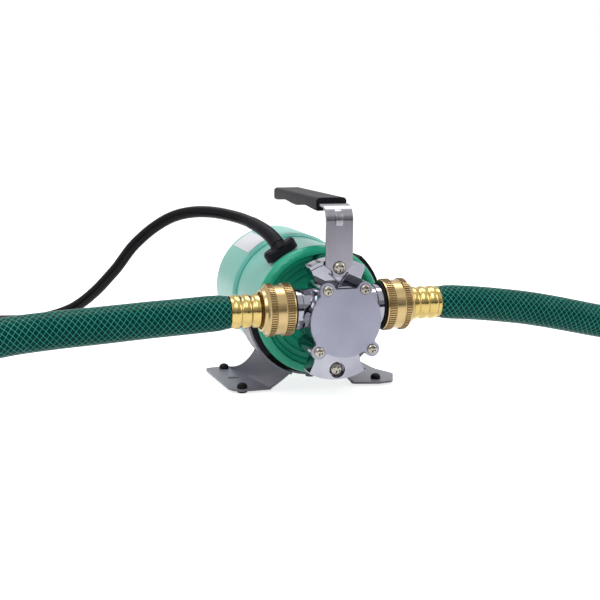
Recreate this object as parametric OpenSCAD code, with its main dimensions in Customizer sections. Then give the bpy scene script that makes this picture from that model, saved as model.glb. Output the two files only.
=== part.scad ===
// Water transfer pump: an electric motor on a sheet steel saddle drives a
// rubber impeller in a cast head, with a hose coupled to each side.
// X runs along the two ports, +Y towards the back of the motor, +Z up.

/* [Housing] */
// Height of the motor's axis above the floor
axis_z = 57.5; // [57.5:0.5:60]
// Depth of the pump's cover face in front of the origin
front_depth = 88; // [86:0.5:90]
// Radius of the front end bell's rim
rim_r = 42.8; // [42.6:0.1:43]
// Radius of the motor shell
shell_r = 42; // [41.8:0.1:42]
// Radius of the rear cover
rear_r = 44.3; // [44:0.1:45]
// Wall thickness of the housing
housing_wall = 2.4; // [2.2:0.1:2.5]
// Front edge of the end bell, behind the cover face
rim_y = 53.6; // [53:0.1:54]
// Front edge of the rear cover
rear_y = 113; // [112:0.5:114]
// Rear face of the rear cover
back_y = 177; // [176:0.5:178]

/* [Pump head] */
// Radius of the impeller chamber
chamber_r = 17.5; // [17:0.1:18]
// Radius of the cast body
head_r = 22.3; // [22:0.1:22.5]
// Radius of the cover plate
cover_r = 22.7; // [22.5:0.1:23]
// Thickness of the cover plate
cover_t = 2.2; // [2:0.1:2.4]
// Depth of the ports' axis behind the cover face
port_y = 20.8; // [20:0.1:21.5]
// Height of the ports' axis above the motor's axis
port_z = 8.05; // [7.5:0.05:8.5]
// Radius of the ports
port_r = 13; // [12.8:0.1:13]
// Bore radius of the ports
port_bore_r = 8.5; // [8:0.1:9]
// Number of impeller vanes
vane_count = 6; // [5:1:8]

/* [Couplings] */
// Outer radius of the hose nut
nut_r = 16.25; // [16:0.05:16.5]
// Distance of the nut's mouth from the middle
nut_x = 29.8; // [29.5:0.1:30]
// Length of the nut
nut_l = 19.2; // [19:0.1:19.5]
// Radius of the crimped ferrule
ferrule_r = 10.6; // [10.5:0.1:10.8]
// Distance of the ferrule's far end from the middle
ferrule_end_x = 68.7; // [68:0.1:70]

/* [Handle] */
// Width of the handle strip
strip_w = 17.5; // [17:0.1:18]
// Thickness of the handle strip
strip_t = 2; // [1.8:0.1:2.2]
// Height of the grip's top above the motor's axis
grip_z = 75.8; // [75:0.1:77]
// Width of the grip
grip_w = 20; // [19.5:0.5:21]

/* [Base] */
// Distance between the outer edges of the feet
feet_w = 122; // [118:1:124]
// Thickness of the saddle's sheet
sheet_t = 1.4; // [1.2:0.1:1.5]
// Height of the foot plate's top below the motor's axis
foot_z = 54.6; // [54.4:0.1:54.8]
// Distance of the mounting slots from the middle
slot_x = 47.5; // [46:0.5:49]

/* [Cords] */
// Outer diameter of the hoses
hose_d = 22; // [21.5:0.1:22]
// Outer diameter of the power cord
cord_d = 8.1; // [7.4:0.1:8.1]

/* [Hidden] */
$fn = 48;
hull_fn = 32;
fit = 0.05;
strip_y = 14;
lug_y = 16;
handle_screw_z = 33.7;
lower_screw_z = -31.6;
upper_bolt = [11.9, 22];
lower_bolt = [17.2, -15.6];
bolt_head_r = 3.25;
boss_r = 4.75;
post_r = 5.4;
post_drop = 1.5;
shaft_r = 4;
tie_x = 34.6;
tie_head_y = back_y - 4;
brush_y = 148;
core_y = 82;
core_l = 34;
foot_pads = [72.7, 129.1];
pad_x = 48;
slot_y = 101;
slot_w = 4.2;
slot_l = 7.7;
band_y = 60;
band_l = 25;
band_bolts = [73.5, 81];
relief_y = 70;
strip_r = 46.2;
hose_r = hose_d / 2;
cord_r = cord_d / 2;

// Route points of the free stretches, chosen by hand, in the part's own frame
suction_route = [
    [-80, -67.3, 65.1], [-98, -68, 64.3], [-117, -69.5, 63.7],
    [-146, -73, 62.7], [-175, -77, 61.9], [-201, -81, 60.3], [-225, -86, 56.3],
    [-250, -91.5, 50.4], [-274, -96, 44.35], [-295, -98.7, 39.3], [-312, -99.7, 36]
];
discharge_route = [
    [80, -67.3, 64.9], [97, -67.6, 63.4], [114, -68.3, 61.4],
    [132, -69.3, 58.9], [149, -70.3, 55.8], [167, -71.2, 52], [188, -72.4, 47.5],
    [212, -76, 43.4], [240, -81.5, 39.7], [270, -88, 37.42], [300, -93.5, 36],
    [328, -97.5, 35.1], [354, -99.3, 34.7], [373, -99.9, 34.6]
];
cord_route = [
    [-24.5, -20, 100], [-26.4, -16.7, 103.3], [-28.4, -13, 106], [-30.6, -8.8, 108.3],
    [-34.5, -0.5, 111.3], [-40, 10.5, 114], [-46, 19, 115.7], [-53, 27.5, 117],
    [-60.5, 35, 117.5], [-69, 41, 117], [-78, 46, 115], [-85.5, 50, 111.7], [-92.7, 53, 107.1],
    [-99, 56, 102], [-105, 58, 96.4], [-110, 60, 91], [-115, 62, 84.1], [-120, 64, 76.8],
    [-126, 66, 69.7], [-132, 68.5, 62.7], [-138, 71.5, 56.5], [-144, 74.5, 51.1], [-152, 78, 45.5],
    [-162, 81, 41.3], [-174, 83, 38.5], [-188, 83.5, 37.6], [-203, 82, 38.4], [-218, 77.5, 39.7],
    [-231, 71.2, 40.4], [-243, 65.5, 39.6], [-255, 60.8, 34], [-267, 56.6, 25.2], [-280, 52.4, 15],
    [-293, 48.5, 8], [-308, 44.5, 5]
];

// The hose coils: two layers, one turn on the other, entered at the front
coil_hose_r = 104;
coil_cy = 4;
suction_coil_x = -325;
discharge_coil_x = 388;
hose_top_z = 34.6;
hose_floor_z = 11.6;
hose_hump = 4.6;
hose_lift = 2.4;
suction_sweep = 539;
discharge_sweep = 503;
loop_rings = 24;
hose_step = 360 / loop_rings;

// The cord coil: it spirals in on the floor and out again on top
cord_coil = [-303, -10];
cord_wind_r = 54;
cord_pitch = 8.6;
cord_turns_in = 2.5;
cord_layer = 8.6;
cord_floor_z = 4.6;
cord_wind_start = 110;
cord_tail = 45;
cord_tail_out = 7;
cord_exit_dir = [-0.36, 0.62, 0.7];

// Placing and profile helpers

module on_axis() {
    translate([0, -front_depth, axis_z]) children();
}

// Turns a profile of [radius, depth] points about the motor's axis
module turned(profile) {
    on_axis() rotate([-90, 0, 0]) rotate_extrude() polygon(profile);
}

// Extrudes an (x, z) drawing from depth y0 to depth y1
module slab(y0, y1) {
    on_axis() translate([0, y1, 0]) rotate([90, 0, 0]) linear_extrude(y1 - y0) children();
}

// A round bar or bore parallel to the motor's axis
module rod(x, z, r, y0, y1) {
    on_axis() translate([x, y0, z]) rotate([-90, 0, 0]) cylinder(h = y1 - y0, r = r);
}

// Turns a profile of [radius, distance] points about the port on one side
module port_turned(side, profile) {
    on_axis() translate([0, port_y, port_z]) rotate([0, side * 90, 0]) rotate_extrude() polygon(profile);
}

// A ring segment between two angles, counted from +X towards +Z
module arc_band(r0, r1, a0, a1) {
    steps = ceil((a1 - a0) / 6);
    outer = [for (i = [0 : steps]) r1 * [cos(a0 + (a1 - a0) * i / steps), sin(a0 + (a1 - a0) * i / steps)]];
    inner = [for (i = [steps : -1 : 0]) r0 * [cos(a0 + (a1 - a0) * i / steps), sin(a0 + (a1 - a0) * i / steps)]];
    polygon(concat(outer, inner));
}

// Swept tubes

function unit(v) = v / norm(v);
function tangent(p, i) = unit(p[min(i + 1, len(p) - 1)] - p[max(i - 1, 0)]);
function side_of(t) = unit(cross(t, [0, 0, 1]));
function ring_points(c, t, r, sides) = let (s = side_of(t), u = cross(s, t))
    [for (k = [0 : sides - 1]) let (a = 360 * (k + 0.5) / sides) c + r * (cos(a) * s + sin(a) * u)];

module tube(path, r, sides, first = undef, last = undef) {
    n = len(path);
    tangents = [for (i = [0 : n - 1])
        i == 0 && first != undef ? first : i == n - 1 && last != undef ? last : tangent(path, i)];
    points = [for (i = [0 : n - 1]) each ring_points(path[i], tangents[i], r, sides)];
    walls = [for (i = [0 : n - 2]) for (k = [0 : sides - 1])
        let (a = i * sides + k, b = i * sides + (k + 1) % sides)
        each [[a, b, b + sides], [a, b + sides, a + sides]]];
    start_cap = [for (k = [1 : sides - 2]) [0, k + 1, k]];
    end_cap = [for (k = [1 : sides - 2]) (n - 1) * sides * [1, 1, 1] + [0, k, k + 1]];
    polyhedron(points = points, faces = concat(walls, start_cap, end_cap), convexity = 6);
}

// Coil paths worked out from their turns

function ease(t) = let (c = min(max(t, 0), 1)) c * c * (3 - 2 * c);

// Height of the hose after it has swept an angle in the coil
function hose_z(sweep, total) =
    hose_top_z + hose_hump * ease((sweep - 25) / 70)
    - (hose_top_z + hose_hump - hose_floor_z) * ease((sweep - 190) / 75)
    + hose_lift * ease((sweep - total + 45) / 45);

function hose_coil_path(centre_x, turn, total) = [
    for (i = [0 : floor(total / hose_step)])
        let (sweep = i * total / floor(total / hose_step), a = -90 + turn * sweep)
        [centre_x + coil_hose_r * cos(a), coil_cy + coil_hose_r * sin(a), hose_z(sweep, total)]
];

// The cord spirals in, climbs a layer in the half turn where it reverses, and comes out
// again; its last part leans out, so that the plug lies beside the turns
cord_half = cord_turns_in * 360;
function cord_reach(sweep) = cord_wind_r - cord_pitch * (cord_half - abs(sweep - cord_half)) / 360
    + cord_tail_out * pow(max(sweep - 2 * cord_half, 0) / cord_tail, 2);
function cord_coil_path() = [
    for (i = [0 : (2 * cord_half + cord_tail) / hose_step])
        let (sweep = i * hose_step, a = cord_wind_start + sweep, r = cord_reach(sweep))
        [cord_coil.x + r * cos(a), cord_coil.y + r * sin(a),
            cord_floor_z + cord_layer * ease((sweep - cord_half + 90) / 180)]
];

suction_coil_path = hose_coil_path(suction_coil_x, -1, suction_sweep);
discharge_coil_path = hose_coil_path(discharge_coil_x, 1, discharge_sweep);
power_coil_path = cord_coil_path();
suction_path = concat([[-ferrule_end_x, port_y - front_depth, port_z + axis_z]], suction_route,
    [suction_coil_path[0]]);
discharge_path = concat([[ferrule_end_x, port_y - front_depth, port_z + axis_z]], discharge_route,
    [discharge_coil_path[0]]);
power_path = concat(cord_route, [power_coil_path[0]]);

function least_gap(path, d, apart) = min([for (i = [0 : len(path) - 1 - apart])
    for (j = [i + apart : len(path) - 1]) norm(path[i] - path[j])]) - d;
function run_length(p, i = 1) = i >= len(p) ? 0 : norm(p[i] - p[i - 1]) + run_length(p, i + 1);
echo(suction_coil_gap = least_gap(suction_coil_path, hose_d, 12));
echo(discharge_coil_gap = least_gap(discharge_coil_path, hose_d, 12));
echo(power_coil_gap = least_gap(power_coil_path, cord_d, 12));
echo(suction_length = run_length(suction_path) + run_length(suction_coil_path));
echo(discharge_length = run_length(discharge_path) + run_length(discharge_coil_path));
echo(power_length = run_length(power_path) + run_length(power_coil_path));

// Base

// The curved sheet between the saddle and the left foot plate: t runs from its front
// edge to its back one, s from the saddle down to the plate
function leaf_point(t, s) =
    let (a = 246 - 26 * t, r = strip_r + 1,
        upper = [r * cos(a), 61 + 23 * t, r * sin(a)],
        middle = [-25 - 14 * t, 65.5 + 41 * t, -50 - t],
        lower = [-30 - 14.3 * t, 69 + 67 * t, -foot_z])
    (1 - s) * (1 - s) * upper + 2 * s * (1 - s) * middle + s * s * lower;

module leaf() {
    m = 12;
    n = 10;
    row = n + 1;
    count = (m + 1) * row;
    face = [for (i = [0 : m]) for (j = [0 : n]) leaf_point(i / m, j / n)];
    back = [for (p = face) p + sheet_t * [0.75, 0, -0.75]];
    cells = [for (i = [0 : m - 1]) for (j = [0 : n - 1]) let (a = i * row + j)
        each [[a, a + 1, a + row + 1], [a, a + row + 1, a + row]]];
    rim = concat([for (j = [0 : n]) j], [for (i = [1 : m]) i * row + n],
        [for (j = [n - 1 : -1 : 0]) m * row + j], [for (i = [m - 1 : -1 : 1]) i * row]);
    polyhedron(points = concat(face, back), convexity = 6, faces = concat(
        cells,
        [for (c = cells) [c[2] + count, c[1] + count, c[0] + count]],
        [for (k = [0 : len(rim) - 1]) let (a = rim[k], b = rim[(k + 1) % len(rim)])
            each [[b, a, a + count], [b, a + count, b + count]]]
    ));
}

// Outlines of the two foot plates in (x, depth), the right one as if it lay on the left
left_plate = [
    [-28.8, 68.5], [-31, 68], [-50, 68], [-54, 70.5], [-56.8, 76], [-feet_w / 2, 130],
    [-60, 133.4], [-56, 134.4], [-44, 136], [-42.9, 135]
];
right_plate = [
    [-28.8, 68.5], [-31, 66.5], [-47, 62.5], [-56.6, 64], [-58.4, 66], [-feet_w / 2 - 4, 82],
    [-feet_w / 2 - 3.6, 85], [-57.5, 100], [-54, 134], [-44, 136], [-42.9, 135]
];

module wing(outline) {
    on_axis() leaf();
    translate([0, -front_depth, axis_z - foot_z - sheet_t]) linear_extrude(sheet_t) polygon(outline);
}

module foot_cuts() {
    for (side = [-1, 1]) {
        for (y = foot_pads)
            translate([side * pad_x, y - front_depth, axis_z - foot_z - 5]) cylinder(h = 10, r = 2.6);
        translate([side * slot_x, slot_y - front_depth, axis_z - foot_z - 5]) {
            for (end = [-1, 1])
                translate([end * (slot_l - slot_w) / 2, 0, 0]) cylinder(h = 10, r = slot_w / 2);
            translate([0, 0, 5]) cube([slot_l - slot_w, slot_w, 10], center = true);
        }
    }
}

module base_bracket() {
    color([0.56, 0.55, 0.6]) difference() {
        union() {
            difference() {
                slab(band_y, band_y + band_l) arc_band(strip_r + 0.1, strip_r + 0.1 + sheet_t, 174, 366);
                slab(band_y - 1, relief_y) arc_band(strip_r - 1, strip_r + 3, 249, 291);
            }
            wing(left_plate);
            mirror([1, 0, 0]) wing(right_plate);
        }
        foot_cuts();
        for (y = band_bolts)
            on_axis() translate([0, y, -60]) cylinder(h = 30, r = 2.2);
    }
}

module rubber_feet() {
    color([0.08, 0.08, 0.09]) for (side = [-1, 1]) for (y = foot_pads)
        translate([side * pad_x, y - front_depth, 0]) rotate_extrude() polygon([
            [0, 0], [3.3, 0], [3.6, 0.4], [3.6, axis_z - foot_z - sheet_t - 0.1],
            [2.5, axis_z - foot_z - sheet_t - 0.1], [2.5, axis_z - foot_z + 0.05],
            [3.4, axis_z - foot_z + 0.1], [3.5, axis_z - foot_z + 1.2], [2.9, axis_z - foot_z + 2.6],
            [1.6, axis_z - foot_z + 3.4], [0, axis_z - foot_z + 3.6]
        ]);
}

module cushion_strip() {
    color([0.1, 0.1, 0.11]) difference() {
        slab(band_y - 1, band_y + band_l + 1) arc_band(shell_r + 0.1, strip_r, 190, 408);
        slab(band_y - 2, relief_y) arc_band(shell_r - 1, strip_r + 1, 222, 318);
        for (y = band_bolts)
            on_axis() translate([0, y, -60]) cylinder(h = 30, r = 2.3);
    }
}

module bracket_screws() {
    color([0.7, 0.7, 0.72]) for (y = band_bolts)
        on_axis() translate([0, y, 0]) {
            translate([0, 0, -strip_r - sheet_t - 2]) cylinder(h = 1.7, r = 3);
            translate([0, 0, -strip_r - sheet_t - 0.5]) cylinder(h = 7.5, r = 2.05);
        }
}

// Motor housing

module motor_shell() {
    color([0.52, 0.77, 0.75]) difference() {
        turned([
            [shell_r - housing_wall, 56.4], [shell_r, 56.4], [shell_r, rear_y + 6],
            [shell_r - housing_wall, rear_y + 6]
        ]);
        for (y = band_bolts)
            on_axis() translate([0, y, -60]) cylinder(h = 30, r = 2.1);
    }
}

module front_end_bell() {
    color([0.16, 0.59, 0.5]) difference() {
        turned([
            [11.1, 57], [17, 57], [17, 60.4], [24, 60.4], [24.8, 58.4], [29.4, 58.4], [30.2, 56],
            [33.2, 56], [34.2, 53.4], [36.4, 53], [37.6, 50.6], [38.6, 50.6], [rim_r - 1.2, 52.4],
            [rim_r, rim_y + 1], [rim_r, 56.2], [shell_r - housing_wall - 0.1, 56.2],
            [shell_r - housing_wall - 0.1, 68], [shell_r - 5, 68], [shell_r - 5, 63], [17, 63],
            [17, 70], [14, 70], [14, 71.2], [11.1, 71.2]
        ]);
        for (z = [handle_screw_z, lower_screw_z]) {
            rod(0, z, 2.55, 50, 66);
            rod(0, z - sign(z) * post_drop, post_r + 0.3, 40, 58.3);
        }
        for (side = [-1, 1])
            rod(side * tie_x, 0, 1.9, 59, 70);
    }
}

module rear_cover() {
    color([0.54, 0.79, 0.76]) difference() {
        union() {
            turned([
                [shell_r + 0.05, rear_y], [shell_r + 0.5, rear_y], [rear_r - 0.5, rear_y + 3],
                [rear_r, rear_y + 5],
                [rear_r, back_y - 8], [rear_r - 1, back_y - 4], [rear_r - 3.4, back_y - 1.2],
                [rear_r - 7, back_y], [13, back_y], [12, back_y + 1], [0, back_y + 1], [0, back_y - 2.4],
                [10, back_y - 2.4], [10, back_y - 3.4], [11.1, back_y - 3.4], [11.1, back_y - 12],
                [14, back_y - 12], [14, back_y - 2.4], [rear_r - 8, back_y - 2.4],
                [rear_r - 4.6, back_y - 3.8], [rear_r - 2.4, back_y - 8], [rear_r - 2.4, rear_y + 6.2],
                [shell_r + 0.05, rear_y + 6.2]
            ]);
            for (side = [-1, 1])
                rod(side * tie_x, 0, 6, back_y - 8, back_y - 2);
        }
        for (i = [0 : 11])
            on_axis() rotate([0, i * 30 + 15, 0]) translate([24, back_y, 0])
                cube([12, 10, 4], center = true);
        for (side = [-1, 1]) {
            rod(side * tie_x, 0, 2.1, back_y - 10, back_y + 4);
            rod(side * tie_x, 0, 4.2, tie_head_y, back_y + 4);
        }
    }
}

module rating_label() {
    color([0.95, 0.95, 0.96]) slab(118, 164) arc_band(rear_r + 0.05, rear_r + 0.25, 115, 136);
}

module tie_bolts() {
    color([0.75, 0.76, 0.78]) for (side = [-1, 1]) {
        rod(side * tie_x, 0, 3.6, tie_head_y + 0.05, tie_head_y + 3);
        rod(side * tie_x, 0, 1.8, 59.5, tie_head_y + 1);
    }
}

// Motor inside

module stator_core() {
    color([0.45, 0.46, 0.48]) slab(core_y, core_y + core_l) difference() {
        circle(r = shell_r - housing_wall - 0.1, $fn = 96);
        circle(r = 20.6, $fn = 96);
        for (side = [-1, 1])
            translate([side * 26, 0]) square([22, 27], center = true);
    }
}

module field_coils() {
    // One loop round each pole: its sides lie in the core's windows, its ends arch over the rotor
    color([0.72, 0.38, 0.16]) for (half = [0, 1]) {
        for (y = [core_y - 8, core_y + core_l + 0.2])
            slab(y, y + 7.8) mirror([0, half]) arc_band(20.8, 28, 10, 170);
        for (side = [0, 1])
            slab(core_y - 8, core_y + core_l + 8) mirror([0, half]) mirror([side, 0])
                arc_band(20.8, 28, 10, 28);
    }
}

module brush_plate() {
    color([0.14, 0.14, 0.15]) slab(brush_y + 5.05, brush_y + 8) difference() {
        circle(r = rear_r - housing_wall - 0.1, $fn = 96);
        circle(r = 13, $fn = 72);
        for (side = [-1, 1])
            translate([side * tie_x, 0]) circle(r = 2);
    }
}

module brush_holders() {
    color([0.8, 0.66, 0.3]) for (side = [-1, 1])
        on_axis() translate([side * 22, brush_y, 0]) difference() {
            cube([17, 10, 9], center = true);
            cube([18, 6.2, 6.2], center = true);
        }
}

module carbon_brushes() {
    color([0.2, 0.2, 0.21]) for (side = [-1, 1])
        on_axis() translate([side * 20.3, brush_y, 0]) cube([17, 6, 6], center = true);
}

module rotor_shaft() {
    color([0.72, 0.73, 0.75]) {
        rod(0, 0, shaft_r, 8, back_y - 3);
    }
}

module armature_core() {
    color([0.5, 0.5, 0.52]) slab(core_y, core_y + core_l) difference() {
        circle(r = 20, $fn = 96);
        circle(r = shaft_r + 0.01);
        for (i = [0 : 11])
            rotate(i * 30) translate([16.5, 0]) square([7.4, 2.6], center = true);
    }
}

module armature_windings() {
    color([0.72, 0.36, 0.14]) {
        turned([[5, 76], [14, 74.5], [18, 76.5], [18.6, core_y - 0.1], [5, core_y - 0.1]]);
        turned([
            [5, core_y + core_l + 0.1], [18.6, core_y + core_l + 0.1], [18, core_y + core_l + 7],
            [13, core_y + core_l + 9.5], [5, core_y + core_l + 9.5]
        ]);
    }
}

module commutator() {
    color([0.78, 0.45, 0.2]) slab(141, 155) difference() {
        circle(r = 11.5, $fn = 72);
        circle(r = shaft_r + 0.01);
        for (i = [0 : 23])
            rotate(i * 15) translate([11.2, 0]) square([2, 0.4], center = true);
    }
}

module cooling_fan() {
    color([0.15, 0.15, 0.16]) {
        turned([[shaft_r + 0.01, 128], [31.5, 128], [31.5, 129.4], [8, 129.4], [8, 136], [shaft_r + 0.01, 136]]);
        for (i = [0 : 8])
            on_axis() rotate([0, i * 40, 0]) translate([19.5, 132.4, 0]) cube([23.6, 6.4, 1.4], center = true);
    }
}

module bearing(y0) {
    turned([[shaft_r + 0.01, y0], [11, y0], [11, y0 + 7], [shaft_r + 0.01, y0 + 7]]);
}

module front_bearing() {
    color([0.8, 0.81, 0.83]) bearing(64);
}

module rear_bearing() {
    color([0.8, 0.81, 0.83]) bearing(back_y - 11.5);
}

module shaft_seal() {
    color([0.12, 0.12, 0.13]) turned([[shaft_r + 0.05, 38], [10, 38], [10, 44], [shaft_r + 0.05, 44]]);
}

// Pump head

module lug_outline(top) {
    lift = top ? 0 : 1;
    mirror([0, lift]) translate([0, top ? 0 : -1]) polygon(concat(
        [[-12, 10], [-15.4, 27.4], [-18.1, 33.4]],
        [for (a = [118 : -8 : 62]) 37.6 * [cos(a), sin(a)] + [0, 1.2]],
        [[18.1, 33.4], [15.4, 27.4], [12, 10]]
    ));
}

module pump_head() {
    color([0.78, 0.78, 0.8]) difference() {
        union() {
            rod(0, 1.4, head_r, 2.9, 34);
            rod(0, 0, 16.4, 33, 56.9);
            slab(lug_y, 29) lug_outline(true);
            slab(lug_y, 29) lug_outline(false);
            for (side = [-1, 1]) {
                rod(side * upper_bolt.x, upper_bolt.y, boss_r, 2.9, 26);
                rod(side * lower_bolt.x, lower_bolt.y, boss_r, 2.9, 30);
                port_turned(side, [
                    [0, 8], [port_r - 0.6, 8], [port_r - 0.6, 24], [port_r, 24.6], [port_r, 28.9],
                    [12.6, 29.3], [12.6, 39.3], [0, 39.3]
                ]);
            }
            for (z = [handle_screw_z, lower_screw_z])
                rod(0, z - sign(z) * post_drop, post_r, 28, 58.2);
            slab(28, 56.9) for (z = [20, -20]) translate([0, z]) square([6, 16], center = true);
        }
        rod(0, 0, chamber_r, 2, 32);
        slab(lug_y - 0.5, lug_y + 1.2) translate([0, 1.2]) arc_band(35.3, 44, 50, 130);
        rod(0, 0, shaft_r + 0.4, 30, 70);
        rod(0, 0, 10.05, 38, 70);
        for (side = [-1, 1]) {
            rod(side * upper_bolt.x, upper_bolt.y, 1.6, 2, 15);
            rod(side * lower_bolt.x, lower_bolt.y, 1.6, 2, 15);
            port_turned(side, [[0, 5], [port_bore_r, 5], [port_bore_r, 41], [0, 41]]);
        }
        rod(0, handle_screw_z, 2.7, 10, 70);
        rod(0, lower_screw_z, 2.7, 10, 70);
        rod(0, lower_screw_z, 5.2, 10, 19.5);
    }
}

module impeller_cam() {
    color([0.75, 0.6, 0.35]) slab(3.1, 31.8) intersection() {
        difference() {
            circle(r = chamber_r - 0.05, $fn = 96);
            circle(r = 14.2, $fn = 96);
        }
        polygon([[0, 6], [-9, 20], [9, 20]]);
    }
}

module impeller() {
    color([0.1, 0.1, 0.11]) slab(3.5, 31.4) difference() {
        union() {
            circle(r = 8.4, $fn = 72);
            for (i = [0 : vane_count - 1]) rotate(i * 360 / vane_count + 30) {
                translate([10.6, 0]) square([5.6, 1.8], center = true);
                translate([12.5, 0]) circle(r = 1.4);
            }
        }
        circle(r = shaft_r + 0.01);
    }
}

module cover_outline(grow) {
    offset(r = -1.6, $fn = hull_fn) offset(r = 1.6, $fn = hull_fn) union() {
        intersection() {
            translate([0, 2.7]) circle(r = cover_r + grow, $fn = 96);
            translate([-30, -40]) square([60, 62.6 + grow]);
        }
        for (side = [-1, 1]) {
            translate([side * upper_bolt.x, upper_bolt.y]) circle(r = boss_r + grow);
            translate([side * lower_bolt.x, lower_bolt.y]) circle(r = boss_r + grow);
        }
    }
}

module cover_drilled(grow) {
    difference() {
        cover_outline(grow);
        for (side = [-1, 1]) {
            translate([side * upper_bolt.x, upper_bolt.y]) circle(r = 1.8);
            translate([side * lower_bolt.x, lower_bolt.y]) circle(r = 1.8);
        }
    }
}

module cover_gasket() {
    color([0.12, 0.12, 0.13]) slab(cover_t + 0.05, 2.85) difference() {
        cover_drilled(0);
        circle(r = chamber_r, $fn = 96);
    }
}

module cover_plate() {
    color([0.66, 0.66, 0.71]) slab(0, cover_t) cover_drilled(0);
}

// A pan head on a plain shank, its head in front of the face at depth y
module pan_screw(x, z, y, head_radius, head_height, shank_r, length) {
    on_axis() translate([x, y, z]) rotate([-90, 0, 0]) difference() {
        rotate_extrude() polygon([
            [0, length], [shank_r, length], [shank_r, -0.02], [head_radius, -0.02],
            [head_radius, -head_height * 0.35], [head_radius * 0.8, -head_height * 0.8],
            [head_radius * 0.45, -head_height], [0, -head_height]
        ]);
        for (turn = [0, 90])
            rotate(turn) translate([0, 0, -head_height]) cube([head_radius * 1.05, 0.9, 2], center = true);
    }
}

module cover_screws() {
    color([0.8, 0.8, 0.8]) for (side = [-1, 1]) {
        pan_screw(side * upper_bolt.x, upper_bolt.y, 0, bolt_head_r, 2, 1.55, 12);
        pan_screw(side * lower_bolt.x, lower_bolt.y, 0, bolt_head_r, 2, 1.55, 12);
    }
}

module lower_screw() {
    color([0.7, 0.7, 0.7]) pan_screw(0, lower_screw_z, 19.4, 4.4, 3, 2.5, 45);
}

module handle_screw() {
    color([0.8, 0.8, 0.78]) pan_screw(0, handle_screw_z, strip_y - 0.05, 4.1, 2.8, 2.5, 50);
}

// Handle

module strip_side() {
    // Side view (depth, height) of the bent strip
    bend = 10;
    outer = [for (a = [180 : -10 : 90]) [strip_y + bend, 62.5] + bend * [cos(a), sin(a)]];
    inner = [for (a = [90 : 10 : 180]) [strip_y + bend, 62.5] + (bend - strip_t) * [cos(a), sin(a)]];
    polygon(concat([[strip_y, 28]], outer, [[124, 72.5], [124, 72.5 - strip_t]], inner,
        [[strip_y + strip_t, 28]]));
}

module handle_strip() {
    color([0.66, 0.65, 0.69]) difference() {
        intersection() {
            on_axis() rotate([90, 0, 90]) translate([0, 0, -strip_w / 2]) linear_extrude(strip_w) strip_side();
            slab(0, 130) polygon([
                [-strip_w / 2, 34.8], [-4.6, 31.8], [-4, 29], [-2.4, 28.2], [2.4, 28.2], [4, 29],
                [4.6, 31.8], [strip_w / 2, 34.8], [strip_w / 2, 80], [-strip_w / 2, 80]
            ]);
        }
        rod(0, handle_screw_z, 2.7, 10, 18);
    }
}

module handle_grip() {
    color([0.16, 0.16, 0.18]) difference() {
        intersection() {
            slab(31, 130) difference() {
                offset(r = 2.4, $fn = hull_fn) translate([-grip_w / 2 + 2.4, 69.4])
                    square([grip_w - 4.8, grip_z - 2.4 - 69.4]);
                translate([-strip_w / 2 - 0.15, 72.5 - strip_t - 0.15]) square([strip_w + 0.3, strip_t + 0.3]);
                translate([-5, 60]) square([10, 10.4]);
            }
            on_axis() rotate([90, 0, 90]) translate([0, 0, -15]) linear_extrude(30) polygon(concat(
                [[30, 80]],
                [for (y = [30 : 4 : 132]) [y, 68.4 - 0.9 * cos(360 * (y - 31) / 48)]],
                [[132, 80]]
            ));
        }
    }
}

// Hose couplings

module hose_washer(side) {
    port_turned(side, [[port_bore_r, 39.4], [12.3, 39.4], [12.3, 41.3], [port_bore_r, 41.3]]);
}

module hose_nut(side) {
    port_turned(side, [
        [12.6 + fit, nut_x], [14.6, nut_x - 0.3], [nut_r - 0.2, nut_x + 0.3], [nut_r, nut_x + 1.2],
        [nut_r, nut_x + 5.4], [nut_r - 0.7, nut_x + 6], [nut_r - 0.7, nut_x + 11.4],
        [nut_r, nut_x + 12], [nut_r, nut_x + 15.6], [nut_r - 0.9, nut_x + 16.4],
        [nut_r - 2.6, nut_x + 17.4], [13, nut_x + nut_l], [11.8, nut_x + nut_l],
        [11.8, 46.4], [9.05, 46.4], [9.05, 43.7], [12.6 + fit, 43.7]
    ]);
}

module hose_stem(side) {
    port_turned(side, [
        [5.4, 41.4], [12.4, 41.4], [12.4, 43.6], [8.9, 43.6], [8.9, 48.4], [6.6, 48.4],
        [6.6, ferrule_end_x - 0.1], [5.4, ferrule_end_x - 0.1]
    ]);
}

module hose_ferrule(side) {
    port_turned(side, concat(
        [[6.7, 48.6], [ferrule_r - 0.8, 48.6]],
        [for (i = [0 : 38]) let (x = 49.2 + 0.5 * i)
            [ferrule_r - 0.95 * pow(cos(180 * (x - 54.9) / 6.3), 4), x]],
        [[ferrule_r - 0.2, ferrule_end_x], [8.6, ferrule_end_x], [8.6, 50.2], [6.7, 50.2]]
    ));
}

module hose_end(side) {
    port_turned(side, [
        [6.65, 50.3], [8.55, 50.3], [8.55, ferrule_end_x - 0.1], [6.65, ferrule_end_x - 0.1]
    ]);
}

module suction_washer() {
    color([0.1, 0.1, 0.1]) hose_washer(-1);
}

module suction_nut() {
    color([0.8, 0.68, 0.42]) hose_nut(-1);
}

module suction_stem() {
    color([0.78, 0.66, 0.4]) hose_stem(-1);
}

module suction_ferrule() {
    color([0.85, 0.74, 0.4]) hose_ferrule(-1);
}

module suction_hose_end() {
    color([0.08, 0.33, 0.3]) hose_end(-1);
}

module discharge_washer() {
    color([0.1, 0.1, 0.1]) hose_washer(1);
}

module discharge_nut() {
    color([0.8, 0.68, 0.42]) hose_nut(1);
}

module discharge_stem() {
    color([0.78, 0.66, 0.4]) hose_stem(1);
}

module discharge_ferrule() {
    color([0.85, 0.74, 0.4]) hose_ferrule(1);
}

module discharge_hose_end() {
    color([0.08, 0.33, 0.3]) hose_end(1);
}

// Cord gland, cord and plug

gland_angle = 120.6;
gland_y = 67.1;

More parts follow.
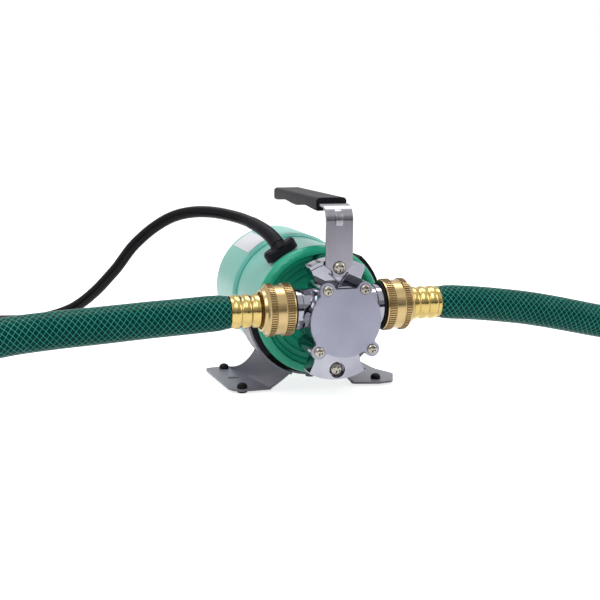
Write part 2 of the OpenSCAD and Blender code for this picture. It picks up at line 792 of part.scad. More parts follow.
module at_cord_exit() {
    translate(cord_route[0]) rotate([0, acos(cord_exit_dir.z / norm(cord_exit_dir)),
        atan2(cord_exit_dir.y, cord_exit_dir.x)]) children();
}

module cord_gland() {
    color([0.1, 0.1, 0.11]) {
        difference() {
            on_axis() rotate([0, 90 - gland_angle, 0]) translate([0, gland_y, shell_r + 0.05])
                hull() for (x = [-6.8, 6.8]) translate([x, 0, 0]) {
                    cylinder(h = 5.2, r = 4.8, $fn = hull_fn);
                    cylinder(h = 6.8, r = 3.6, $fn = hull_fn);
                }
            at_cord_exit() cylinder(h = 14, r = cord_r + 0.3);
        }
        at_cord_exit() translate([0, 0, -4.5]) cylinder(h = 4.45, r = 4.7);
    }
}

module power_cord() {
    color([0.08, 0.08, 0.09]) tube(power_path, cord_r, 8, unit(cord_exit_dir),
        unit(power_coil_path[1] - power_coil_path[0]));
}

module power_cord_coil() {
    color([0.08, 0.08, 0.09]) tube(power_coil_path, cord_r, 6);
}

plug_start = power_coil_path[len(power_coil_path) - 1];
plug_dir = unit(plug_start - power_coil_path[len(power_coil_path) - 2]);
plug_turn = atan2(plug_dir.y, plug_dir.x);

module at_plug() {
    translate(plug_start) rotate([0, 0, plug_turn]) rotate([0, 90, 0]) children();
}

module power_plug() {
    color([0.09, 0.09, 0.1]) at_plug() {
        translate([0, 0, 0.1]) cylinder(h = 16, r1 = 4.4, r2 = 5.4);
        translate([0, 0, 15.9]) cylinder(h = 18, r = 9.5);
        translate([0, 0, 33.8]) cylinder(h = 3.4, r = 11.5);
    }
}

module plug_pins() {
    color([0.82, 0.78, 0.6]) at_plug() {
        for (y = [-6.35, 6.35])
            translate([2.4, y, 37.2 + 8.6]) cube([6.4, 1.5, 17.1], center = true);
        translate([-6, 0, 37.3]) cylinder(h = 19, r = 2.4);
    }
}

// Hoses

module suction_hose() {
    color([0.08, 0.32, 0.3]) tube(suction_path, hose_r, 12, [-1, 0, 0], [-1, 0, 0]);
}

module suction_hose_coil() {
    color([0.08, 0.32, 0.3]) tube(suction_coil_path, hose_r, 6, [-1, 0, 0]);
}

module discharge_hose() {
    color([0.08, 0.32, 0.3]) tube(discharge_path, hose_r, 12, [1, 0, 0], [1, 0, 0]);
}

module discharge_hose_coil() {
    color([0.08, 0.32, 0.3]) tube(discharge_coil_path, hose_r, 6, [1, 0, 0]);
}

// A crimped brass male fitting that closes the far end of a hose path
module end_fitting(path) {
    end = path[len(path) - 1];
    dir = unit(end - path[len(path) - 2]);
    translate(end) rotate([0, 0, atan2(dir.y, dir.x)]) rotate([0, 90, 0]) rotate_extrude() polygon([
        [6, 0.1], [ferrule_r, 0.1], [ferrule_r, 18], [9.4, 18.6], [9.4, 21], [13.2, 21.4], [13.2, 26.4],
        [12.1, 26.8], [12.1, 29], [13.2, 29.4], [13.2, 40], [12.4, 40.8], [8.2, 40.8], [8.2, 22], [6, 20]
    ]);
}

module suction_end_fitting() {
    color([0.82, 0.7, 0.42]) end_fitting(suction_coil_path);
}

module discharge_end_fitting() {
    color([0.82, 0.7, 0.42]) end_fitting(discharge_coil_path);
}

base_bracket();
rubber_feet();
cushion_strip();
bracket_screws();
motor_shell();
front_end_bell();
rear_cover();
rating_label();
tie_bolts();
stator_core();
field_coils();
brush_plate();
brush_holders();
carbon_brushes();
rotor_shaft();
armature_core();
armature_windings();
commutator();
cooling_fan();
front_bearing();
rear_bearing();
shaft_seal();
pump_head();
impeller_cam();
impeller();
cover_gasket();
cover_plate();
cover_screws();
lower_screw();
handle_screw();
handle_strip();
handle_grip();
suction_washer();
suction_nut();
suction_stem();
suction_ferrule();
suction_hose_end();
discharge_washer();
discharge_nut();
discharge_stem();
discharge_ferrule();
discharge_hose_end();
cord_gland();
power_cord();
power_cord_coil();
power_plug();
plug_pins();
suction_hose();
suction_hose_coil();
suction_end_fitting();
discharge_hose();
discharge_hose_coil();
discharge_end_fitting();
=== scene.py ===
import math

import bpy
import bmesh
from mathutils import Matrix, Vector


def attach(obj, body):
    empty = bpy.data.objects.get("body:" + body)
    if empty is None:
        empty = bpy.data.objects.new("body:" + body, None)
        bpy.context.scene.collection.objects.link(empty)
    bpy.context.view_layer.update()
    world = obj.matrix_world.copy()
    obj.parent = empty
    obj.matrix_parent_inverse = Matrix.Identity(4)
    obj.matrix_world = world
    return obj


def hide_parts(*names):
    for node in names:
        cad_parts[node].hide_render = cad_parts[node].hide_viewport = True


MM = 0.001
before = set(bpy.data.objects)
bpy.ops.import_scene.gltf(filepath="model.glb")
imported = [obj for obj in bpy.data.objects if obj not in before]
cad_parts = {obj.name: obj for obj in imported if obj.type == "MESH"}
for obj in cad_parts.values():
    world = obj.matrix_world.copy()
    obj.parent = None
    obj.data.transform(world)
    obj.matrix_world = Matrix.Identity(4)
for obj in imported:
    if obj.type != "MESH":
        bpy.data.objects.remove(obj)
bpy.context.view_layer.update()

# Driving dimensions of the pump, its hoses and its cord, in metres
AXIS = Vector((0.0, -0.088, 0.0575))
PORT = Vector((0.0, -0.0672, 0.06555))
HOSE_R = 0.0111
HOSE_GRIPPED_R = 0.0099
HOSE_NECK = 0.008
CORD_R = 0.00405
BOOT_R = 0.0051
BOOT_NARROWING = 0.0008
BOOT_LENGTH = 0.024
RIB_INSET = 0.00014
RIB_HEIGHT = 0.0005

# Places on the pump, in mm: x and z from the motor's axis, depths from the cover's face
COVER_SCREWS = ((11.9, 22), (17.2, -15.6))
HANDLE_SCREW_Z = 33.7
LOWER_SCREW_Y = 19.4
LOWER_SCREW_Z = -31.6
STRIP_Y = 14
STRIP_BEND_Z = 62.5
FERRULE_START = 48.6
FERRULE_END = 68.7

# The radius of the strip's bend, in mm, and how many ribs go round a nut
STRIP_BEND_R = 10
KNURL_RIBS = 66

# The hose coils, in mm and degrees
COIL_R = 104
COIL_Y = 4
SUCTION_COIL_X = -325
DISCHARGE_COIL_X = 388
SUCTION_SWEEP = 539
DISCHARGE_SWEEP = 503
HOSE_TOP_Z = 34.6
HOSE_FLOOR_Z = 11.6
HOSE_HUMP = 4.6
HOSE_LIFT = 2.4

# The cord's coil, in mm and degrees
CORD_CENTRE = (-303, -10)
CORD_WIND_R = 54
CORD_PITCH = 8.6
CORD_LAYER = 8.6
CORD_FLOOR_Z = 4.6
CORD_HALF = 900
CORD_START = 110
CORD_STEP = 7
CORD_TAIL = 45
CORD_TAIL_OUT = 7

# The camera's place in metres, its angles in degrees, and half the view's width over the distance
CAMERA_PLACE = (-0.2005, -0.6515, 0.1806)
CAMERA_ANGLES = (16.87, 10.18, 0.3)
CAMERA_SPREAD = 0.3


# Camera

def set_camera():
    azimuth, elevation, roll = (math.radians(angle) for angle in CAMERA_ANGLES)
    forward = Vector((math.sin(azimuth) * math.cos(elevation),
                      math.cos(azimuth) * math.cos(elevation), -math.sin(elevation)))
    level = Vector((math.cos(azimuth), -math.sin(azimuth), 0))
    upright = level.cross(forward)
    right = level * math.cos(roll) + upright * math.sin(roll)
    up = upright * math.cos(roll) - level * math.sin(roll)
    data = bpy.data.cameras.new("camera")
    data.sensor_fit = "HORIZONTAL"
    data.angle = 2 * math.atan(CAMERA_SPREAD)
    data.clip_start = 0.01
    camera = bpy.data.objects.new("camera", data)
    turn = Matrix((right, up, -forward)).transposed().to_4x4()
    camera.matrix_world = Matrix.Translation(CAMERA_PLACE) @ turn
    bpy.context.scene.collection.objects.link(camera)
    bpy.context.scene.camera = camera


# Routes of the hoses and the cord, the same points as the source has, in mm

SUCTION_ROUTE = [
    (-80, -67.3, 65.1), (-98, -68, 64.3), (-117, -69.5, 63.7),
    (-146, -73, 62.7), (-175, -77, 61.9), (-201, -81, 60.3), (-225, -86, 56.3),
    (-250, -91.5, 50.4), (-274, -96, 44.35), (-295, -98.7, 39.3), (-312, -99.7, 36),
]
DISCHARGE_ROUTE = [
    (80, -67.3, 64.9), (97, -67.6, 63.4), (114, -68.3, 61.4),
    (132, -69.3, 58.9), (149, -70.3, 55.8), (167, -71.2, 52), (188, -72.4, 47.5),
    (212, -76, 43.4), (240, -81.5, 39.7), (270, -88, 37.42), (300, -93.5, 36),
    (328, -97.5, 35.1), (354, -99.3, 34.7), (373, -99.9, 34.6),
]
CORD_ROUTE = [
    (-24.5, -20, 100), (-26.4, -16.7, 103.3), (-28.4, -13, 106), (-30.6, -8.8, 108.3),
    (-34.5, -0.5, 111.3), (-40, 10.5, 114), (-46, 19, 115.7), (-53, 27.5, 117),
    (-60.5, 35, 117.5), (-69, 41, 117), (-78, 46, 115), (-85.5, 50, 111.7), (-92.7, 53, 107.1),
    (-99, 56, 102), (-105, 58, 96.4), (-110, 60, 91), (-115, 62, 84.1), (-120, 64, 76.8),
    (-126, 66, 69.7), (-132, 68.5, 62.7), (-138, 71.5, 56.5), (-144, 74.5, 51.1), (-152, 78, 45.5),
    (-162, 81, 41.3), (-174, 83, 38.5), (-188, 83.5, 37.6), (-203, 82, 38.4), (-218, 77.5, 39.7),
    (-231, 71.2, 40.4), (-243, 65.5, 39.6), (-255, 60.8, 34), (-267, 56.6, 25.2), (-280, 52.4, 15),
    (-293, 48.5, 8), (-308, 44.5, 5),
]


def ease(t):
    # 0 before t is 0, 1 after t is 1, and smooth between them
    c = min(max(t, 0), 1)
    return c * c * (3 - 2 * c)


def hose_coil(centre_x, turn, total):
    # Two layers, the first turn over the second: it rises to clear the fitting, comes down to the
    # floor between 190 and 265 degrees, and lifts at its end, where the fitting is thicker
    steps = int(total // 5)
    points = []
    for i in range(steps + 1):
        sweep = total * i / steps
        a = math.radians(-90 + turn * sweep)
        z = (HOSE_TOP_Z + HOSE_HUMP * ease((sweep - 25) / 70)
             - (HOSE_TOP_Z + HOSE_HUMP - HOSE_FLOOR_Z) * ease((sweep - 190) / 75)
             + HOSE_LIFT * ease((sweep - total + 45) / 45))
        points.append((centre_x + COIL_R * math.cos(a), COIL_Y + COIL_R * math.sin(a), z))
    return points


def cord_coil():
    # In on the floor, up a layer where the spiral reverses, and out again on top
    points = []
    for sweep in range(0, 2 * CORD_HALF + CORD_TAIL + 1, CORD_STEP):
        a = math.radians(CORD_START + sweep)
        r = (CORD_WIND_R - CORD_PITCH * (CORD_HALF - abs(sweep - CORD_HALF)) / 360
             + CORD_TAIL_OUT * (max(sweep - 2 * CORD_HALF, 0) / CORD_TAIL) ** 2)
        z = CORD_FLOOR_Z + CORD_LAYER * ease((sweep - CORD_HALF + 90) / 180)
        points.append((CORD_CENTRE[0] + r * math.cos(a), CORD_CENTRE[1] + r * math.sin(a), z))
    return points


def smooth_path(points, step):
    # A curve through all points, with a point about every step
    p = [Vector(q) * MM for q in points]
    out = []
    for i in range(len(p) - 1):
        a, b = p[i], p[i + 1]
        before = p[i - 1] if i else a * 2 - b
        after = p[i + 2] if i + 2 < len(p) else b * 2 - a
        chord = max((b - a).length, 1e-6)
        start = (b - before) * (chord / ((b - a).length + (a - before).length))
        end = (after - a) * (chord / ((b - a).length + (after - b).length))
        pieces = max(1, round(chord / step))
        for k in range(pieces):
            t = k / pieces
            out.append(a * (2 * t**3 - 3 * t**2 + 1) + start * (t**3 - 2 * t**2 + t)
                       + b * (3 * t**2 - 2 * t**3) + end * (t**3 - t**2))
    out.append(p[-1])
    return out


def swept_tube(name, path, sides, radius_at):
    # A closed tube along the path, its radius given by the distance run; its map runs round it
    # and along it, in metres
    mesh = bpy.data.meshes.new(name)
    tangents = [(path[min(i + 1, len(path) - 1)] - path[max(i - 1, 0)]).normalized()
                for i in range(len(path))]
    side = tangents[0].cross(Vector((0, 0, 1))).normalized()
    vertices, lengths, run = [], [], 0.0
    for i, (point, along) in enumerate(zip(path, tangents)):
        side = (side - along * side.dot(along)).normalized()
        over = side.cross(along)
        if i:
            run += (point - path[i - 1]).length
        lengths.append(run)
        r = radius_at(run)
        for k in range(sides):
            a = 2 * math.pi * k / sides
            vertices.append(point + side * (r * math.cos(a)) + over * (r * math.sin(a)))
    faces, coords = [], []
    for i in range(len(path) - 1):
        for k in range(sides):
            j = (k + 1) % sides
            faces.append((i * sides + k, i * sides + j, (i + 1) * sides + j, (i + 1) * sides + k))
            coords += [(k / sides, lengths[i]), ((k + 1) / sides, lengths[i]),
                       ((k + 1) / sides, lengths[i + 1]), (k / sides, lengths[i + 1])]
    last = (len(path) - 1) * sides
    faces.append(tuple(range(sides - 1, -1, -1)))
    coords += [(0.5, 0)] * sides
    faces.append(tuple(last + k for k in range(sides)))
    coords += [(0.5, run)] * sides
    mesh.from_pydata([tuple(v) for v in vertices], [], faces)
    layer = mesh.uv_layers.new(name="along")
    for loop, uv in zip(layer.data, coords):
        loop.uv = uv
    obj = bpy.data.objects.new(name, mesh)
    bpy.context.scene.collection.objects.link(obj)
    recalculate(obj)
    shade(obj, 50)
    return obj


# Modelling helpers

def only(obj):
    # Makes a piece the only one selected, in object mode
    if bpy.context.object and bpy.context.object.mode != "OBJECT":
        bpy.ops.object.mode_set(mode="OBJECT")
    bpy.ops.object.select_all(action="DESELECT")
    bpy.context.view_layer.objects.active = obj
    obj.select_set(True)


def recalculate(obj):
    only(obj)
    bpy.ops.object.mode_set(mode="EDIT")
    bpy.ops.mesh.select_all(action="SELECT")
    bpy.ops.mesh.normals_make_consistent(inside=False)
    bpy.ops.object.mode_set(mode="OBJECT")


def shade(obj, angle):
    only(obj)
    bpy.ops.object.shade_smooth_by_angle(angle=math.radians(angle))


def settle(obj):
    # Puts a finished piece's place into its mesh
    only(obj)
    bpy.ops.object.transform_apply(location=True, rotation=True, scale=True)
    return obj


def modify(obj, kind, **values):
    only(obj)
    modifier = obj.modifiers.new(kind.lower(), kind)
    for key, value in values.items():
        setattr(modifier, key, value)
    bpy.ops.object.modifier_apply(modifier=modifier.name)


def refined(node, name, bevel):
    # A copy of a node, its loose triangles merged and its edges rounded
    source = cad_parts[node]
    obj = bpy.data.objects.new(name, source.data.copy())
    bpy.context.scene.collection.objects.link(obj)
    only(obj)
    bpy.ops.object.mode_set(mode="EDIT")
    bpy.ops.mesh.select_all(action="SELECT")
    bpy.ops.mesh.remove_doubles(threshold=0.00001)
    bpy.ops.mesh.dissolve_limited(angle_limit=math.radians(0.8))
    bpy.ops.object.mode_set(mode="OBJECT")
    modify(obj, "BEVEL", width=bevel, segments=2, limit_method="ANGLE",
           angle_limit=math.radians(32), use_clamp_overlap=True, harden_normals=False)
    shade(obj, 40)
    modify(obj, "WEIGHTED_NORMAL", keep_sharp=True)
    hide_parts(node)
    return obj


def draw_outline(name, points):
    # One vertex extruded from point to point
    bpy.ops.mesh.primitive_plane_add(size=0.001, location=(0, 0, 0))
    obj = bpy.context.object
    obj.name = obj.data.name = name
    bpy.ops.object.mode_set(mode="EDIT")
    bpy.ops.mesh.select_mode(type="VERT")
    bpy.ops.mesh.select_all(action="SELECT")
    bpy.ops.mesh.merge(type="CENTER")
    bpy.ops.transform.translate(value=points[0])
    for a, b in zip(points, points[1:]):
        step = tuple(Vector(b) - Vector(a))
        bpy.ops.mesh.extrude_region_move(TRANSFORM_OT_translate={"value": step})
    return obj


def lathe(name, profile, place, axis, steps):
    # Profile points are (distance along the axis, radius), in mm
    along = Vector(axis)
    out = Vector((0, 0, 1))
    points = [Vector(place) + along * (d * MM) + out * (r * MM) for d, r in profile]
    obj = draw_outline(name, points)
    bpy.ops.mesh.select_all(action="SELECT")
    bpy.ops.mesh.spin(steps=steps, angle=2 * math.pi, center=tuple(place), axis=tuple(axis))
    bpy.ops.mesh.select_all(action="SELECT")
    bpy.ops.mesh.remove_doubles(threshold=0.00001)
    bpy.ops.mesh.normals_make_consistent(inside=False)
    bpy.ops.object.mode_set(mode="OBJECT")
    return obj


def select_faces(obj, test):
    # Leaves the piece in edit mode with the faces that pass the test selected
    only(obj)
    bpy.ops.object.mode_set(mode="EDIT")
    bpy.ops.mesh.select_mode(type="FACE")
    bpy.ops.mesh.select_all(action="DESELECT")
    mesh = bmesh.from_edit_mesh(obj.data)
    for face in mesh.faces:
        if test(face):
            face.select_set(True)
    bmesh.update_edit_mesh(obj.data)


def join(name, pieces):
    only(pieces[0])
    for piece in pieces:
        piece.select_set(True)
    bpy.ops.object.join()
    pieces[0].name = pieces[0].data.name = name
    return pieces[0]


def cut(obj, cutter):
    modify(obj, "BOOLEAN", object=cutter, operation="DIFFERENCE", solver="EXACT")
    bpy.data.objects.remove(cutter)


# Materials

def new_group(name, inputs, outputs):
    group = bpy.data.node_groups.new(name, "ShaderNodeTree")
    for label, kind, default in inputs:
        socket = group.interface.new_socket(name=label, in_out="INPUT", socket_type=kind)
        socket.default_value = default
    for label, kind in outputs:
        group.interface.new_socket(name=label, in_out="OUTPUT", socket_type=kind)
    return group, group.nodes.new("NodeGroupInput"), group.nodes.new("NodeGroupOutput")


def math_node(tree, operation, a, b=None, c=None, clamp=False):
    # Each value is a number or a socket
    node = tree.nodes.new("ShaderNodeMath")
    node.operation = operation
    node.use_clamp = clamp
    for i, value in enumerate((a, b, c)):
        if value is None:
            continue
        if isinstance(value, (int, float)):
            node.inputs[i].default_value = value
        else:
            tree.links.new(value, node.inputs[i])
    return node.outputs[0]


def noise_node(tree, vector, scale, detail):
    node = tree.nodes.new("ShaderNodeTexNoise")
    node.inputs["Scale"].default_value = scale
    node.inputs["Detail"].default_value = detail
    node.inputs["Roughness"].default_value = 0.55
    tree.links.new(vector, node.inputs["Vector"])
    return node.outputs["Fac"]


def mix_colour(tree, fac, a, b):
    # Each colour is a tuple or a socket
    node = tree.nodes.new("ShaderNodeMix")
    node.data_type = "RGBA"
    for key, value in (("Factor", fac), ("A", a), ("B", b)):
        if isinstance(value, tuple):
            node.inputs[key].default_value = value
        else:
            tree.links.new(value, node.inputs[key])
    return node.outputs["Result"]


def build_finish_group():
    # Colour that drifts a little, gloss that varies, and a fine relief
    group, source, sink = new_group("finish", [
        ("Colour", "NodeSocketColor", (0.5, 0.5, 0.5, 1)),
        ("Second", "NodeSocketColor", (0.4, 0.4, 0.4, 1)),
        ("Drift", "NodeSocketFloat", 0.3), ("Roughness", "NodeSocketFloat", 0.4),
        ("Spread", "NodeSocketFloat", 0.1), ("Grain", "NodeSocketFloat", 900.0),
        ("Streak", "NodeSocketFloat", 0.0), ("Stretch", "NodeSocketVector", (1, 1, 1)),
    ], [
        ("Colour", "NodeSocketColor"), ("Roughness", "NodeSocketFloat"),
        ("Height", "NodeSocketFloat"),
    ])
    place = group.nodes.new("ShaderNodeTexCoord").outputs["Object"]
    broad = noise_node(group, place, 38.0, 4.0)
    fine = group.nodes.new("ShaderNodeTexNoise")
    fine.inputs["Detail"].default_value = 2.0
    drawn = group.nodes.new("ShaderNodeVectorMath")
    drawn.operation = "MULTIPLY"
    group.links.new(place, drawn.inputs[0])
    group.links.new(source.outputs["Stretch"], drawn.inputs[1])
    group.links.new(drawn.outputs["Vector"], fine.inputs["Vector"])
    group.links.new(source.outputs["Grain"], fine.inputs["Scale"])
    cloud = math_node(group, "SUBTRACT", broad, 0.35)
    cloud = math_node(group, "MULTIPLY", cloud, 3.0, clamp=True)
    amount = math_node(group, "MULTIPLY", cloud, source.outputs["Drift"])
    streak = math_node(group, "SUBTRACT", fine.outputs["Fac"], 0.4)
    streak = math_node(group, "MULTIPLY", streak, 4.0, clamp=True)
    streak = math_node(group, "MULTIPLY", streak, source.outputs["Streak"])
    amount = math_node(group, "ADD", amount, streak, clamp=True)
    colour = mix_colour(group, amount, source.outputs["Colour"], source.outputs["Second"])
    lift = math_node(group, "SUBTRACT", broad, 0.5)
    lift = math_node(group, "MULTIPLY", lift, source.outputs["Spread"])
    rough = math_node(group, "ADD", source.outputs["Roughness"], lift, clamp=True)
    group.links.new(colour, sink.inputs["Colour"])
    group.links.new(rough, sink.inputs["Roughness"])
    group.links.new(fine.outputs["Fac"], sink.inputs["Height"])
    return group


def srgb(r, g, b):
    def linear(c):
        c /= 255
        return c / 12.92 if c <= 0.04045 else ((c + 0.055) / 1.055) ** 2.4
    return (linear(r), linear(g), linear(b), 1)


def material(name, colour, second, rough, spread, drift, grain, bump,
             metallic=0.0, coat=0.0, specular=0.5, streak=0.0, stretch=(1, 1, 1)):
    # The colour drifts towards the second one, and the roughness varies by its spread
    mat = bpy.data.materials.new(name)
    mat.use_nodes = True
    tree = mat.node_tree
    shader = tree.nodes["Principled BSDF"]
    finish = tree.nodes.new("ShaderNodeGroup")
    finish.node_tree = FINISH
    for key, value in (("Colour", colour), ("Second", second), ("Drift", drift),
                       ("Roughness", rough), ("Spread", spread), ("Grain", grain),
                       ("Streak", streak), ("Stretch", stretch)):
        finish.inputs[key].default_value = value
    relief = tree.nodes.new("ShaderNodeBump")
    relief.inputs["Strength"].default_value = bump
    relief.inputs["Distance"].default_value = 0.0004
    tree.links.new(finish.outputs["Colour"], shader.inputs["Base Color"])
    tree.links.new(finish.outputs["Roughness"], shader.inputs["Roughness"])
    tree.links.new(finish.outputs["Height"], relief.inputs["Height"])
    tree.links.new(relief.outputs["Normal"], shader.inputs["Normal"])
    shader.inputs["Metallic"].default_value = metallic
    shader.inputs["Coat Weight"].default_value = coat
    shader.inputs["Coat Roughness"].default_value = 0.12
    shader.inputs["Specular IOR Level"].default_value = specular
    return mat


def hose_material():
    # Dark clear green wall over a net of pale yarn, sixteen yarns each way
    mat = bpy.data.materials.new("netted_hose")
    mat.use_nodes = True
    tree = mat.node_tree
    shader = tree.nodes["Principled BSDF"]
    split = tree.nodes.new("ShaderNodeSeparateXYZ")
    uv = tree.nodes.new("ShaderNodeUVMap")
    uv.uv_map = "along"
    tree.links.new(uv.outputs["UV"], split.inputs["Vector"])
    yarns = 16.0
    pitch = 0.0037
    half_width = 0.058
    round_turn = math_node(tree, "MULTIPLY", split.outputs["X"], yarns)
    run = math_node(tree, "DIVIDE", split.outputs["Y"], pitch)
    lines = []
    for operation in ("ADD", "SUBTRACT"):
        phase = math_node(tree, "FRACT", math_node(tree, operation, round_turn, run))
        reach = math_node(tree, "ABSOLUTE", math_node(tree, "SUBTRACT", phase, 0.5))
        reach = math_node(tree, "DIVIDE", reach, half_width)
        lines.append(math_node(tree, "SUBTRACT", 1.0, reach, clamp=True))
    net = math_node(tree, "MAXIMUM", lines[0], lines[1])
    drift = noise_node(tree, tree.nodes.new("ShaderNodeTexCoord").outputs["Object"], 60.0, 2.0)
    wall = mix_colour(tree, drift, srgb(0, 48, 46), srgb(0, 62, 57))
    yarn = mix_colour(tree, drift, srgb(48, 184, 156), srgb(110, 226, 200))
    net_colour = mix_colour(tree, net, wall, yarn)
    tree.links.new(net_colour, shader.inputs["Base Color"])
    relief = tree.nodes.new("ShaderNodeBump")
    relief.inputs["Strength"].default_value = 0.35
    relief.inputs["Distance"].default_value = 0.0004
    tree.links.new(net, relief.inputs["Height"])
    tree.links.new(relief.outputs["Normal"], shader.inputs["Normal"])
    shader.inputs["Roughness"].default_value = 0.33
    shader.inputs["Specular IOR Level"].default_value = 0.05
    return mat


def paint(obj, mat):
    obj.data.materials.clear()
    obj.data.materials.append(mat)
    for polygon in obj.data.polygons:
        polygon.material_index = 0


FINISH = build_finish_group()
CHROME = material("cast_chrome", srgb(158, 158, 168), srgb(122, 122, 134),
                  0.1, 0.08, 0.6, 260, 0.1, metallic=1.0)
COVER = material("satin_chrome", srgb(146, 147, 162), srgb(130, 131, 147),
                 0.34, 0.14, 0.6, 420, 0.12, metallic=1.0)
STEEL = material("rolled_steel", srgb(154, 152, 161), srgb(122, 119, 128),
                 0.24, 0.12, 0.3, 2500, 0.04, metallic=1.0, streak=0.25, stretch=(1, 1, 0.03))
SCREW = material("plated_screw", srgb(168, 162, 152), srgb(120, 114, 106),
                 0.2, 0.1, 0.6, 500, 0.05, metallic=1.0)
BRASS = material("nut_brass", srgb(186, 163, 118), srgb(160, 134, 92),
                 0.27, 0.12, 0.6, 500, 0.08, metallic=1.0)
FERRULE = material("ferrule_brass", srgb(196, 174, 112), srgb(176, 150, 84),
                   0.2, 0.1, 0.5, 500, 0.06, metallic=1.0)
# The shell's green enamel, made paler all over as a painted highlight of the glare on it
GLARE_PALED_GREEN = material("glare_paled_green_enamel", srgb(96, 190, 174), srgb(88, 183, 167),
                0.36, 0.06, 0.2, 700, 0.03, coat=0.25, specular=0.4)
GREEN = material("green_moulding", srgb(26, 170, 134), srgb(20, 152, 120),
                 0.36, 0.06, 0.2, 700, 0.04, specular=0.4)
GREY = material("grey_paint", srgb(132, 130, 142), srgb(110, 111, 123),
                0.38, 0.12, 0.4, 600, 0.14, specular=0.4)
RUBBER = material("black_rubber", srgb(20, 19, 23), srgb(30, 29, 34),
                  0.6, 0.12, 0.5, 900, 0.12, specular=0.16)
PLASTIC = material("black_moulding", srgb(24, 23, 29), srgb(36, 35, 42),
                   0.5, 0.1, 0.5, 500, 0.14, specular=0.12)
CORD_SKIN = material("cord_sheath", srgb(12, 11, 15), srgb(20, 18, 24),
                     0.26, 0.08, 0.5, 600, 0.04, specular=0.14)
LABEL = material("label_film", srgb(226, 226, 234), srgb(216, 216, 226),
                 0.4, 0.08, 0.5, 700, 0.02)
COPPER = material("enamelled_wire", srgb(176, 92, 44), srgb(130, 60, 26),
                  0.3, 0.1, 0.6, 1500, 0.3)
LAMINATION = material("laminated_steel", srgb(116, 118, 122), srgb(86, 88, 92),
                      0.4, 0.1, 0.6, 900, 0.2, metallic=1.0, streak=0.6, stretch=(0.05, 1, 0.05))
CARBON = material("carbon_block", srgb(44, 44, 46), srgb(30, 30, 32),
                  0.7, 0.1, 0.6, 1200, 0.2)
# Darker brass, painted shade for the grooves between the knurls' ribs
GROOVE_SHADE = material("groove_shade_brass", srgb(134, 110, 72), srgb(110, 90, 58),
                  0.45, 0.1, 0.5, 500, 0.08, metallic=1.0)
HOSE = hose_material()


# Cords

def hose_radius(run):
    # The hose swells from the ferrule's grip to its own size
    return HOSE_GRIPPED_R + (HOSE_R - HOSE_GRIPPED_R) * ease(run / HOSE_NECK)


def hose(side, name, route, centre_x, total):
    start = (side * FERRULE_END, PORT.y / MM, PORT.z / MM)
    points = smooth_path([start] + route + hose_coil(centre_x, side, total), step=0.005)
    tube = swept_tube(name + "_hose_tube", points, sides=24, radius_at=hose_radius)
    paint(tube, HOSE)
    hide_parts(name + "_hose", name + "_hose_coil")
    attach(tube, "pump")
    fitting = refined(name + "_end_fitting", name + "_male_fitting", 0.0003)
    paint(fitting, BRASS)
    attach(fitting, "pump")


def cord_radius(run):
    return CORD_R


def boot_radius(run):
    # The strain relief narrows towards the free cord
    return BOOT_R - BOOT_NARROWING * min(run / BOOT_LENGTH, 1)


def power_lead():
    points = smooth_path(CORD_ROUTE + cord_coil(), step=0.004)
    lead = swept_tube("power_lead", points, sides=16, radius_at=cord_radius)
    paint(lead, CORD_SKIN)
    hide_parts("power_cord", "power_cord_coil")
    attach(lead, "pump")
    boot_path = points[:7]
    boot = swept_tube("lead_boot", boot_path, sides=24, radius_at=boot_radius)
    paint(boot, PLASTIC)
    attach(boot, "pump")
    plug = refined("power_plug", "lead_plug", 0.0008)
    paint(plug, CORD_SKIN)
    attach(plug, "pump")
    pins = refined("plug_pins", "lead_pins", 0.0003)
    paint(pins, BRASS)
    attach(pins, "pump")


# Couplings

def knurled(x):
    # Whether a distance from the middle lies in one of the two knurled bands
    return 30.6 < x < 35.4 or 41.8 < x < 45.4


def knurled_nut(side, name):
    # Two knurled bands with a plain band between them
    rows = [(29.5, 14.6), (29.8, 15.7), (30.6, 15.95), (35.4, 15.95), (35.9, 15.5), (41.3, 15.5),
            (41.8, 15.95), (45.4, 15.95), (46.2, 15.3), (47.2, 13.6), (48.6, 13.1), (49.0, 12.5),
            (48.9, 11.8), (46.4, 11.8), (46.4, 9.05), (43.7, 9.05), (43.7, 12.65), (30.0, 12.65),
            (29.5, 13.2), (29.5, 14.6)]
    nut = lathe(name, [(side * d, r) for d, r in rows], PORT, (1, 0, 0), steps=KNURL_RIBS * 2)

    def in_band(face):
        c = face.calc_center_median()
        x = side * c.x / MM
        r = math.hypot(c.y - PORT.y, c.z - PORT.z) / MM
        cell = math.atan2(c.z - PORT.z, c.y - PORT.y) / (2 * math.pi) * KNURL_RIBS * 2
        return knurled(x) and r > 15 and math.floor(cell) % 2 == 0
    select_faces(nut, in_band)
    bpy.ops.mesh.inset(thickness=RIB_INSET, use_individual=True)
    bpy.ops.mesh.extrude_region_shrink_fatten(TRANSFORM_OT_shrink_fatten={"value": RIB_HEIGHT})
    bpy.ops.object.mode_set(mode="OBJECT")
    shade(nut, 30)
    return nut


def crimped_ferrule(side, name):
    # Three rings are pressed into it, 6.3 mm apart
    rows = [(FERRULE_START, 8.6), (FERRULE_START, 9.4), (49.2, 9.9)]
    for i in range(40):
        d = 49.6 + i * 0.48
        rows.append((d, 10.6 - 1.05 * math.cos(math.pi * (d - 54.9) / 6.3) ** 4))
    rows += [(FERRULE_END, 10.4), (FERRULE_END, 9.9), (66.5, 9.7), (FERRULE_START, 8.6)]
    ferrule = lathe(name, [(side * d, r) for d, r in rows], PORT, (1, 0, 0), steps=64)
    shade(ferrule, 60)
    return ferrule


def seal_and_shade_ring(side, name):
    # A black rubber ring round the port in the nut's mouth: a seal, and black there as painted
    # shade of the dark gap inside the nut
    rows = [(28.3, 13.05), (28.3, 14.1), (28.6, 14.6), (29.1, 14.6), (29.35, 14.2), (29.35, 13.05),
            (28.3, 13.05)]
    ring = lathe(name, [(side * d, r) for d, r in rows], PORT, (1, 0, 0), steps=64)
    shade(ring, 50)
    return ring


